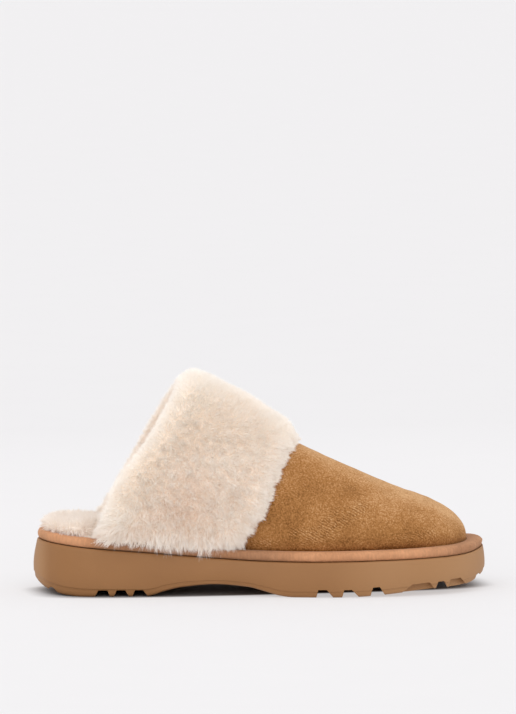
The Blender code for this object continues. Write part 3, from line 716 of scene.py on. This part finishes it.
pad = insole_form(stations(150))
insole = mesh_piece("insole_pad", pad.reshape(-1, 3), capped(pad), "insole",
                    {"tone": 0.5, "reach": 0.25})

# %% Lining
LINING_BACK, LINING_FRONT = 52.0, 236.0
FOLD_THIN, FOLD_LINING = 0.8, 5.0
THIN_BELOW, FULL_ABOVE = 12, 28


def lining_depth(x, girth):
    """Fleece inside the wall: thin where the insole lies against it and full 28 mm above the rand."""
    height = upper_surface(x, girth)[..., 2] - rand_top(x)
    return FOLD_THIN + (FOLD_LINING - FOLD_THIN) * ease(THIN_BELOW, FULL_ABOVE, height)


def lining_face(x, girth, depth):
    """The upper's face moved in by its wall, a gap and the depth given."""
    return upper_surface(x, girth) - (UPPER_WALL + GAP + depth)[..., None] * upper_normal(x, girth)


x = np.linspace(LINING_BACK, LINING_FRONT, 70)[:, None]
girth = np.linspace(0.0, 1.0, 71)[None, :]
depth = lining_depth(x, girth)
inside = lining_face(x, girth, (depth - FLEECE_BARE).clip(LEAST_FLEECE))
outside = lining_face(x, girth, 0 * depth)
rows, columns = inside.shape[:2]
both = np.concatenate([outside.reshape(-1, 3), inside.reshape(-1, 3)])
grid = np.arange(rows * columns).reshape(rows, columns)
edge = np.concatenate([grid[0, :-1], grid[:-1, -1], grid[-1, :0:-1], grid[:0:-1, 0]])
rim = np.stack([edge, edge + rows * columns, np.roll(edge, -1) + rows * columns, np.roll(edge, -1)], 1)
skin = band(rows, columns)
faces = [skin, skin[:, ::-1] + rows * columns, rim]
mesh_piece("lining_fleece", both, faces, None, {"tone": 0.5, "reach": 0.25})

# %% [markdown]
# ## The turned-down cuff
# At the collar the skin is folded over, so its fur side comes out and stands about 12 mm deep. One
# profile does it all: it starts at the cuff's rounded front edge, runs back over the fur, round the
# fold, a little way inside and back along the upper. A small table lets the fold reach further back
# low on the outer side. Carried over the girth the profile is a closed form, and the skin under the fur
# is this form drawn in by the length of the fibres that will stand on it.

# %% Cuff tables
CUFF_FRONT_X, CUFF_EDGE, FOLD_REACH = 121.0, 1.5, 0.12
CUFF_ROUND = (0.16, 2.0)
PILE = np.array([[0.0, 11.5], [0.4, 12.5], [0.8, 10.5], [1.0, 9.0]])  # share of the way forward, depth
FRONT_LINE = np.array([
    [0.0, -1.5], [0.09, -0.5], [0.19, -5.5], [0.3, -8.0], [0.5, -7.0],
    [0.7, -8.0], [0.81, -5.5], [0.91, -0.5], [1.0, -1.5],
])  # girth, how far the front edge lies before or behind its mean
FOLD = np.array([
    [0.0, 0.55], [0.055, 1.42], [0.09, 1.42], [0.2, 0.95], [0.72, 0.95], [0.92, 0.7], [1.0, 0.7],
])  # girth, how far back the fold reaches against its radius
FUR_BARE, LEAST_PILE = 3.6, 0.6
OUTSIDE_ROWS, INSIDE_ROWS, BACK_ROWS = 48, 6, 9
LUMPS = [(0.15, 14, 55), (0.06, 5.0, 56)]  # height and size in millimetres, seed
print("cuff runs from", COLLAR_X, "to about", CUFF_FRONT_X, "mm")


# %% Cuff form
def fur_direction(x, girth, depth):
    """Out of the upper, but level where its face leans under, so that fur clears the rand."""
    normal = upper_normal(x, girth)
    normal[..., 2] = np.where(depth > 0, np.maximum(normal[..., 2], 0), normal[..., 2])
    return unit(normal)


def cuff_profile(girth):
    """Rows of (share, beyond, depth) for every girth: outside, pile depth rounded at the front; fold, a
    half circle whose radius eases from the pile's to the lining's; inside, the lining; then the back."""
    half_wall, under, one = UPPER_WALL / 2, -UPPER_WALL - GAP, np.ones((1, 1))
    lining = np.maximum(lining_depth(COLLAR_X, girth) - FUR_BARE / 2, 0.5)
    share = np.linspace(1, 0, OUTSIDE_ROWS)[:, None]
    pile = GAP + CUFF_EDGE + (through(PILE, 1, share) - CUFF_EDGE) * end_round(1 - share, *CUFF_ROUND)
    pile = np.maximum(pile - FUR_BARE, GAP + LEAST_PILE)
    turn = np.linspace(0, np.pi, 17)[1:-1, None]
    radius = (pile[-1] + half_wall) * (1 - turn / np.pi) + (lining + GAP + half_wall) * turn / np.pi
    inside = np.linspace(0, FOLD_REACH, INSIDE_ROWS)[:, None]
    back = np.linspace(0, 1, BACK_ROWS)[:, None]
    stretches = [
        (share, 0, pile),
        (0, through(FOLD, 1, girth) * radius * np.sin(turn), radius * np.cos(turn) - half_wall),
        (inside, 0, under - lining), (FOLD_REACH * one, 0, under),
        (0 * one, GAP, under), (0 * one, GAP, GAP), (back, 0, GAP),
    ]
    whole = [np.broadcast_arrays(*stretch, girth)[:3] for stretch in stretches]
    return [np.concatenate(column) for column in zip(*whole)], len(share) + len(turn) + len(inside)


def cuff_form(girth):
    """Points of the profile over the girth, each off the upper's face by its depth and behind the collar
    by what lies beyond, made a little uneven by clouds and kept above the rand. Also the rows with fur."""
    girth = girth[None, :]
    (share, beyond, depth), fur_rows = cuff_profile(girth)
    x = COLLAR_X + share * (CUFF_FRONT_X - COLLAR_X + through(FRONT_LINE, 1, girth))
    behind = unit(upper_surface(COLLAR_X, girth) - upper_surface(COLLAR_X + SURFACE_STEP, girth))
    out = fur_direction(x, girth, depth)
    form = upper_surface(x, girth) + depth[..., None] * out + beyond[..., None] * behind
    lumps = sum(high * cloud(form, size, seed) for high, size, seed in LUMPS)
    form += (lumps * ease(2, 5, depth) * ease(0.0, 0.03, girth) * ease(1.0, 0.97, girth))[..., None] * out
    form[..., 2] = np.maximum(form[..., 2], rand_top(form[..., 0]) + GAP)
    return form, fur_rows


# %% Cuff skin
skin, fur_rows = cuff_form(np.linspace(0, 1, 121))
rows, columns = skin.shape[:2]
index = np.arange(rows * columns).reshape(rows, columns)
faces = [band(rows, columns, close_rows=True), index[:, 0][None, :], index[::-1, -1][None, :]]
mesh_piece("cuff_skin", skin.reshape(-1, 3), faces, "fur_cuff", {"tone": 0.5, "reach": 0.15})

# %% [markdown]
# ## Fur as many small spikes
# Real shearling is millions of fibres that cling together in small locks. Blender can grow hair, but
# hair is not a mesh that an export can keep, so each tuft here is a slim three-sided spike, and a share
# of them has a bend. All are worked out at once: a seeded scatter over the form, a lattice of lock
# centres that the tips are drawn towards, a comb direction and a little chance.

# %% Scatter and locks
LATTICE = 32


def scatter(form, count, seed, weight):
    """Spots on a grid surface: cells are drawn by area times weight, and each spot blends its cell's
    four corners by two random shares. The normal is the cross product of the two edge directions."""
    chance = np.random.default_rng(seed)
    p00, p01, p10, p11 = form[:-1, :-1], form[:-1, 1:], form[1:, :-1], form[1:, 1:]
    area = np.linalg.norm(np.cross(p11 - p00, p10 - p01), axis=-1) / 2 * weight[:-1, :-1]
    total = np.cumsum(area.ravel())
    cell = np.searchsorted(total, chance.uniform(0, total[-1], count)).clip(0, len(total) - 1)
    a, b, c, d = (corner.reshape(-1, 3)[cell] for corner in (p00, p01, p10, p11))
    s, t = chance.uniform(size=(2, count, 1))
    spot = a * (1 - s) * (1 - t) + b * (1 - s) * t + c * s * (1 - t) + d * s * t
    normal = np.cross((b - a) * (1 - s) + (d - c) * s, (c - a) * (1 - t) + (d - b) * t)
    return spot, unit(normal), cell


def lock_centres(spots, size, seed):
    """Way from each spot to the nearest of a jittered lattice of lock centres, and that lock's own
    number between 0 and 1. The 27 lattice cells round each spot are compared."""
    table = np.random.default_rng(seed).uniform(size=(LATTICE, LATTICE, LATTICE, 4))
    cell = np.floor(spots / size).astype(int)
    around = np.stack(np.meshgrid([-1, 0, 1], [-1, 0, 1], [-1, 0, 1], indexing="ij"), -1).reshape(-1, 3)
    near = cell[:, None] + around[None]
    drawn = table[tuple(np.moveaxis(near % LATTICE, -1, 0))]
    way = (near + drawn[..., :3]) * size - spots[:, None]
    best = (way**2).sum(-1).argmin(1)
    row = np.arange(len(spots))
    return way[row, best], drawn[row, best, 3]


print("different lock centres:", LATTICE**3)

# %% Spikes
KNEE, KNEE_LEAN, KNEE_GATHER, KNEE_STRAY = 0.55, 0.45, 0.25, 0.10  # how far up, lean, pull, chance
WAFT, WAFT_SIZE, STRAY = 0.15, 5, 0.24  # how far neighbours turn together, over what size, and each alone
LOCK_SEED, LOCK_GROWTH, LOCK_TONE = 60, 0.5, 0.2
LONG_SPIKE = np.array([[0, 2, 1], [0, 1, 4], [0, 4, 3], [1, 2, 5], [1, 5, 4], [2, 0, 3], [2, 3, 5],
                       [3, 4, 6], [4, 5, 6], [5, 3, 6]])
SHORT_SPIKE = np.array([[0, 2, 1], [0, 1, 3], [1, 2, 3], [2, 0, 3]])


def fur_piece(name, spots, normals, length, comb, seed, lock=3.6, radius=0.18, gather=0.3, bent=0.15,
              pale=0.0, stir=1.0):
    """Tufts: the tip stands the length away along normal + comb + chance and is drawn towards its lock's
    centre, and three points ring the root. The first tufts, a share of them, also have a ring of three
    at a bend about half way up, but straighter. Pale, which carries painted light and shade,
    lightens or darkens a tuft's tone, and stir scales the chance."""
    chance = np.random.default_rng(seed)
    count = len(spots)
    to_lock, lock_tone = lock_centres(spots, lock, LOCK_SEED)
    to_lock -= normals * (to_lock * normals).sum(1, keepdims=True)
    gather, stir = np.broadcast_to(gather, count)[:, None], np.broadcast_to(stir, count)[:, None]
    waft = np.stack([cloud(spots, WAFT_SIZE, LOCK_SEED + k) for k in (1, 2, 3)], 1)
    way = unit(normals + comb + stir * (WAFT * waft + STRAY * chance.normal(size=(count, 3))))
    grown = chance.uniform(0.70, 1.10, count) + 0.4 * chance.uniform(size=count) ** 8
    tall = (length * grown * (1 + LOCK_GROWTH * stir[:, 0] * (lock_tone - 0.5)))[:, None]
    tip = spots + way * tall + gather * to_lock
    bend = spots + KNEE * tall * ((1 - KNEE_LEAN) * normals + KNEE_LEAN * way)
    bend += KNEE_GATHER * gather * to_lock + KNEE_STRAY * tall * chance.normal(size=(count, 3))
    axis = unit(tip - spots)
    side = unit(np.cross(axis, chance.normal(size=(count, 3))))
    angle = np.arange(3)[:, None] * 2 * np.pi / 3
    ring = side[:, None] * np.cos(angle) + np.cross(axis, side)[:, None] * np.sin(angle)
    ring *= (radius * chance.uniform(0.75, 1.25, count))[:, None, None]
    root, knee, top = spots[:, None] + ring, bend[:, None] + 0.8 * ring, tip[:, None]
    tone = 0.5 + stir[:, 0] * (LOCK_TONE * lock_tone + chance.uniform(size=count) - 0.6) + pale
    many = int(count * bent)
    curled = np.concatenate([root[:many], knee[:many], top[:many]], 1)
    straight = np.concatenate([root[many:], top[many:]], 1)
    faces = [(LONG_SPIKE + 7 * np.arange(many)[:, None, None]).reshape(-1, 3),
             (SHORT_SPIKE + 7 * many + 4 * np.arange(count - many)[:, None, None]).reshape(-1, 3)]
    points = np.concatenate([curled.reshape(-1, 3), straight.reshape(-1, 3)])
    tones = np.concatenate([np.repeat(tone[:many], 7), np.repeat(tone[many:], 4)])
    reach = np.concatenate([
        np.tile([0, 0, 0, KNEE, KNEE, KNEE, 1], many), np.tile([0, 0, 0, 1], count - many)])
    return mesh_piece(name, points, faces, None, {"tone": tones, "reach": reach}, smooth=False)


print("faces of a tuft:", len(LONG_SPIKE), "bent,", len(SHORT_SPIKE), "straight")

# %% [markdown]
# ### Combing the cuff
# The fur follows its skin: it stands out over the instep, lies forward along the front edge, curls
# back at the fold and hangs down over the rand at the hem. Each of these is a comb direction that
# fades in where it belongs. The fur is livelier in the middle of the side, where it gets pressed, and
# smooth round the edges. The tufts are shared out over three pieces, so that none grows too heavy.

# %% Cuff fur: where it stands
CUFF_TUFTS, COAT_COLUMNS = 140000, 160
HEM_HIGH = 11.0
FRONT_ROWS, FRONT_WEIGHT = 5, 1.6
HEM_ROWS, CORNER_ROWS = 50, 60  # rows that these reach, from the front edge back over the fold
coat, fur_rows = cuff_form(np.linspace(0, 1, COAT_COLUMNS + 1))
coat = coat[:fur_rows]
row_share = np.arange(fur_rows)[:, None] / OUTSIDE_ROWS
weight = np.where(row_share < 1.05, 1.0, np.where(row_share < 1.33, 0.9, 0.6)) * np.ones(coat.shape[:2])
weight[:FRONT_ROWS] *= FRONT_WEIGHT
spots, normals, cell = scatter(coat, CUFF_TUFTS, 51, weight)
row, column = cell // COAT_COLUMNS, cell % COAT_COLUMNS
share, way_over = 1 - row / (OUTSIDE_ROWS - 1), column / COAT_COLUMNS
x, z = spots[:, 0], spots[:, 2]
above = z - rand_top(x)
hem = ease(HEM_HIGH, 1.0, above) * (row < HEM_ROWS) * (0.35 + 0.65 * ease(45, 80, x))
front, inside = ease(0.80, 1.0, share), ease(58, 66, row)
corner = ease(0.22, 0.0, share) * ease(26, 5, above) * (row < CORNER_ROWS)
crest = np.exp(-(((way_over - 0.5) / 0.12) ** 2))
lively = ease(98, 72, z) * ease(0.02, 0.26, share) * ease(1.05, 0.75, share)
middle = np.exp(-(((share - 0.40) / 0.32) ** 2)) * ease(95, 50, z)
middle *= ease(0.495, 0.46, np.abs(way_over - 0.5))
print("fur rows", fur_rows, "hem tufts", int((hem > 0.5).sum()))

# %% Cuff fur: how it lies
DROOP, HEM_DROOP, FRONT_SWEEP, HEM_SWEEP, CORNER_SWEEP = 0.22, 1.9, 0.55, 0.8, 0.9
ragged = cloud(spots, 7, 52).clip(-1.2, 1.0)
comb = np.zeros_like(spots)
comb[:, 0] = FRONT_SWEEP * front + HEM_SWEEP * hem * cloud(spots, 5, 53) - CORNER_SWEEP * corner
comb[:, 2] = -DROOP - HEM_DROOP * hem
grown = 1.06 + hem * (0.68 + 0.35 * ragged) + front * (0.30 * ragged - 0.10 - 0.30 * crest) - 0.45 * inside
grown += corner * (0.45 + 0.30 * ragged)
gather = 0.10 + 0.70 * lively + 0.20 * front
# Painted light and shade in each tuft's tone: lighter round the edges and towards the fold, darker in the
# middle of the side, on the inner side, and low at the hem where the fur hangs down.
pale = 0.50 - 0.55 * middle + 0.20 * ease(0.25, 0.0, share) - 0.45 * ease(0.52, 0.62, way_over)
pale -= 0.40 * ease(16, 4, above) * ease(150, 100, x)
order = np.argsort(column, kind="stable")
for k, title in enumerate(("outer", "top", "inner")):
    part = order[k * CUFF_TUFTS // 3:(k + 1) * CUFF_TUFTS // 3]
    part = part[np.random.default_rng(k).permutation(len(part))]
    fur_piece(f"cuff_fur_{title}", spots[part], normals[part], FUR_BARE * grown[part], comb[part],
              70 + k, lock=1.9, radius=0.16, gather=gather[part], bent=0.03, pale=pale[part],
              stir=0.45 + 0.85 * lively[part])

# %% Insole fleece
SIDE_TUFTS, CROWN_TUFTS = 12000, 7000
FLEECE_LONG, EDGE_LONGER, EDGE_DROOP = 4.0, 1.4, 1.3


def bed_weight(x):
    """Share of tufts along the bed: full at the open heel, few under the cuff, none at the toe."""
    return (1.0 - 0.75 * ease(48, 75, x)) * ease(170, 120, x)


ring = np.concatenate([pad[2:], pad[2:, :1]], 1)
spots, normals, _ = scatter(ring, SIDE_TUFTS, 91, bed_weight(ring[..., 0]))
normals *= np.sign(normals[:, 2:] + 0.25)
crown = pad[-1]
half = len(crown) // 2
across = np.linspace(0, 1, 12)[:, None, None]
top = crown[1:half] * (1 - across) + crown[:half:-1] * across
more, up, _ = scatter(top, CROWN_TUFTS, 92, bed_weight(top[..., 0]))
up *= np.sign(up[:, 2:])
spots, normals = np.concatenate([spots, more]), np.concatenate([normals, up])
low = ease(5.0, 0.5, spots[:, 2] - rand_top(spots[:, 0]))
comb = np.column_stack([0 * low, 0 * low, -EDGE_DROOP * low])
# Painted shade: tufts low on the pad's side, which hang over the rand, get a darker tone.
fur_piece("insole_fleece", spots, normals, FLEECE_LONG + EDGE_LONGER * low, comb, 95,
          lock=4.2, gather=0.22, pale=0.30 - 0.8 * low, stir=0.5)

# %% Lining pile
LINING_TUFTS, HOLLOW_HEIGHT = 9000, 55.0
x = np.linspace(LINING_BACK - 3, 150, 60)[:, None]
girth = np.linspace(0.0, 1.0, 71)[None, :]
face = lining_face(x, girth, (lining_depth(x, girth) - FLEECE_BARE).clip(LEAST_FLEECE))
spots, normals, _ = scatter(face, LINING_TUFTS, 97, 1.0 - 0.7 * ease(90, 140, x) + 0 * girth)
hollow = spots * [1, 0, 0] + [0, 0, HOLLOW_HEIGHT]
normals *= np.sign(((hollow - spots) * normals).sum(1, keepdims=True))
fur_piece("lining_pile", spots, normals, FLEECE_BARE, np.zeros_like(spots), 98, lock=3.4,
          gather=0.45, bent=0.1)

# %% [markdown]
# ### Shearling
# Sheep's wool is a pale cream fibre that scatters light many times before it leaves, so the fur looks
# bright with soft warm depths. The colour runs from a pinkish beige at the root towards bleached cream
# at the tip by the reach attribute, each tuft has its own slight tone with painted light and shade
# added by where it stands, and sheen gives the light edge that fibres show where they are seen flat.
# Keratin's IOR is about 1.55.

# %% Fur finish
WOOL_CLOUD, CLOUD_TONE, PALEST, BLEACH = 40, 0.6, 0.97, 0.80


def shearling(name, deep, pale, tip, edge):
    """Wool: the root's colour runs from deep to pale by the tuft's tone, and on to the tip by reach."""
    material, tree, place = new_finish(name)
    reach = add_node(tree, "Attribute", out="Fac", attribute_name="reach")
    tone = add_node(tree, "Attribute", out="Fac", attribute_name="tone")
    patch = add_node(tree, "TexNoise", {"Vector": place, "Scale": 1000 / WOOL_CLOUD, "Detail": 2.0})
    blend = add_node(tree, "Math", {0: patch, 1: CLOUD_TONE, 2: tone}, operation="MULTIPLY_ADD")
    light = add_node(tree, "MapRange", {"Value": blend, "From Max": 1.4, "To Max": PALEST})
    root = add_node(tree, "Mix", {0: light, 6: deep, 7: pale}, out=2, data_type="RGBA")
    bleached = add_node(tree, "Math", {0: reach, 1: BLEACH}, operation="MULTIPLY")
    wool = add_node(tree, "Mix", {0: bleached, 6: root, 7: tip}, out=2, data_type="RGBA")
    shader = add_node(tree, "BsdfPrincipled", {
        "Base Color": wool, "Roughness": 0.9, "IOR": 1.55, "Specular IOR Level": 0.15,
        "Sheen Weight": 0.3, "Sheen Roughness": 0.4, "Sheen Tint": edge})
    add_node(tree, "OutputMaterial", {"Surface": shader})
    return material


cuff_wool = shearling("shearling_combed", "#EACFB2", "#FEFAF5", "#FEFCF8", "#FDFAF7")
bed_wool = shearling("fleece_clipped", "#E8D6C2", "#FAF5EF", "#FBF6F1", "#FDF9F4")
for piece in bpy.context.scene.objects:
    if piece.name.startswith("cuff_"):
        piece.data.materials.append(cuff_wool)
    if piece.name.startswith(("insole_", "lining_")):
        piece.data.materials.append(bed_wool)
print("triangles in all:", sum(WHOLE.values()))

# %% [markdown]
# ## Floor, light and camera
# A product like this is often photographed on a sheet of white acrylic that is lit from below, with
# large soft lamps, so that only a thin shadow is left. Here the floor's glow is painted light that stands
# for such a sheet and lifts the shadows; it dims a little far off, and it is left out under the sole,
# which is a painted shadow round the footprint. The floor is a wide disc, so that other views find no
# wall in their way. Light goes from fibre to fibre in white fur, so it may bounce more often than usual.
# The camera looks from the outer side with the toe to the right, from 4 m, three degrees round to the
# heel and six above level.

# %% Floor
FLOOR_RADIUS, ACRYLIC_HAZE = 24, 60  # in metres, and the size of its clouds in millimetres
# Painted light: the floor's glow lifts its shadows, and it dims a little far off.
GLOW, FAR_GLOW = 0.528, 0.937  # strength, and the share of it that is left far off
# Painted shadow: the glow is left out over this footprint under the sole.
FOOTPRINT = (0.126, 0.037, 1.0)  # half sizes of the shaded part, in metres
turn = np.linspace(0, 2 * np.pi, 97)[:-1]
disc = FLOOR_RADIUS * np.column_stack([np.cos(turn), np.sin(turn), 0 * turn])
sweep = bpy.data.meshes.new("floor")
sweep.from_pydata(disc.tolist(), [], [list(range(len(disc)))])
floor = add_object("floor", sweep)
glowing_floor, tree, place = new_finish("floor_glow_painted")
share = add_node(tree, "Mapping", {
    "Vector": place, "Location": (0, 0.005, 0), "Rotation": (0, 0, math.radians(9)), "Scale": FOOTPRINT},
    vector_type="TEXTURE")
square = add_node(tree, "VectorMath", {0: share, 1: share}, operation="MULTIPLY")
apart = add_node(tree, "VectorMath", {0: square, 1: square}, out="Value", operation="DOT_PRODUCT")
lit = add_node(tree, "MapRange", {"Value": apart, "From Min": 0.85, "From Max": 1.7, "To Max": GLOW},
               interpolation_type="SMOOTHSTEP")
fall = add_node(tree, "MapRange", {
    "Value": apart, "From Min": 1e4, "From Max": 5e5, "To Min": 1.0, "To Max": FAR_GLOW})
shine = add_node(tree, "Math", {0: lit, 1: fall}, operation="MULTIPLY")
haze = add_node(tree, "TexNoise", {"Vector": place, "Scale": 1000 / ACRYLIC_HAZE, "Detail": 2.0})
sheet = add_node(tree, "Mix", {0: haze, 6: "#A3A2A3", 7: "#A5A4A5"}, out=2, data_type="RGBA")
shader = add_node(tree, "BsdfPrincipled", {
    "Base Color": sheet, "Roughness": 0.9, "Specular IOR Level": 0.1,
    "Emission Color": "#F6F5F6", "Emission Strength": shine})
add_node(tree, "OutputMaterial", {"Surface": shader})
floor.data.materials.append(glowing_floor)

# %% Light
SKY_LIGHT, SKY_SEEN = 0.70, 0.97
world = bpy.data.worlds.new("studio")
world.use_nodes = True
tree = world.node_tree
tree.nodes.clear()
seen = add_node(tree, "LightPath", out="Is Camera Ray")
glow = add_node(tree, "MapRange", {"Value": seen, "To Min": SKY_LIGHT, "To Max": SKY_SEEN})
sky = add_node(tree, "Background", {"Color": "#F2F1F2", "Strength": glow})
add_node(tree, "OutputWorld", {"Surface": sky})
bpy.context.scene.world = world
LAMPS = [
    ("key", -12, -46, 75, 1.50),
    ("top", -4, 24, 90, 0.43),
    ("heel side", -80, 6, 30, 0.26),
    ("toe side", 80, 4, 30, 0.46),
]  # name, tilt to the left and to the front in degrees, softness in degrees, strength
for name, left, front, soft, strength in LAMPS:
    lamp = bpy.data.lights.new(name, "SUN")
    lamp.angle, lamp.energy = math.radians(soft), strength
    add_object(name, lamp).rotation_euler = (math.radians(-front), math.radians(left), 0)
print("lamps", len(LAMPS))

# %% Camera
FRAME_WIDE, FRAME_TALL = 516, 714
DISTANCE, AIM = 4.0, np.array([0.0, 0.0, 0.06])
AROUND, DOWN = math.radians(-3.0), math.radians(6.0)
AIM_PIXEL, PIXELS_PER_METRE = (259.7, 487.9), 1676.0
FOCAL = PIXELS_PER_METRE * DISTANCE
lens = bpy.data.cameras.new("camera")
lens.sensor_fit, lens.sensor_height = "VERTICAL", 36.0
lens.lens = FOCAL / FRAME_TALL * lens.sensor_height
camera = add_object("camera", lens)
towards = [math.cos(DOWN) * math.sin(AROUND), -math.cos(DOWN) * math.cos(AROUND), math.sin(DOWN)]
camera.location = AIM + DISTANCE * np.array(towards)
tip_up = math.atan((AIM_PIXEL[1] - FRAME_TALL / 2) / FOCAL)
turn_left = math.atan((AIM_PIXEL[0] - FRAME_WIDE / 2) / FOCAL)
camera.rotation_euler = (math.pi / 2 - DOWN + tip_up, 0, AROUND + turn_left)
scene = bpy.context.scene
scene.camera = camera
scene.view_settings.view_transform = "Standard"
scene.cycles.diffuse_bounces, scene.cycles.max_bounces = 12, 16
print("lens", round(lens.lens, 1), "mm")
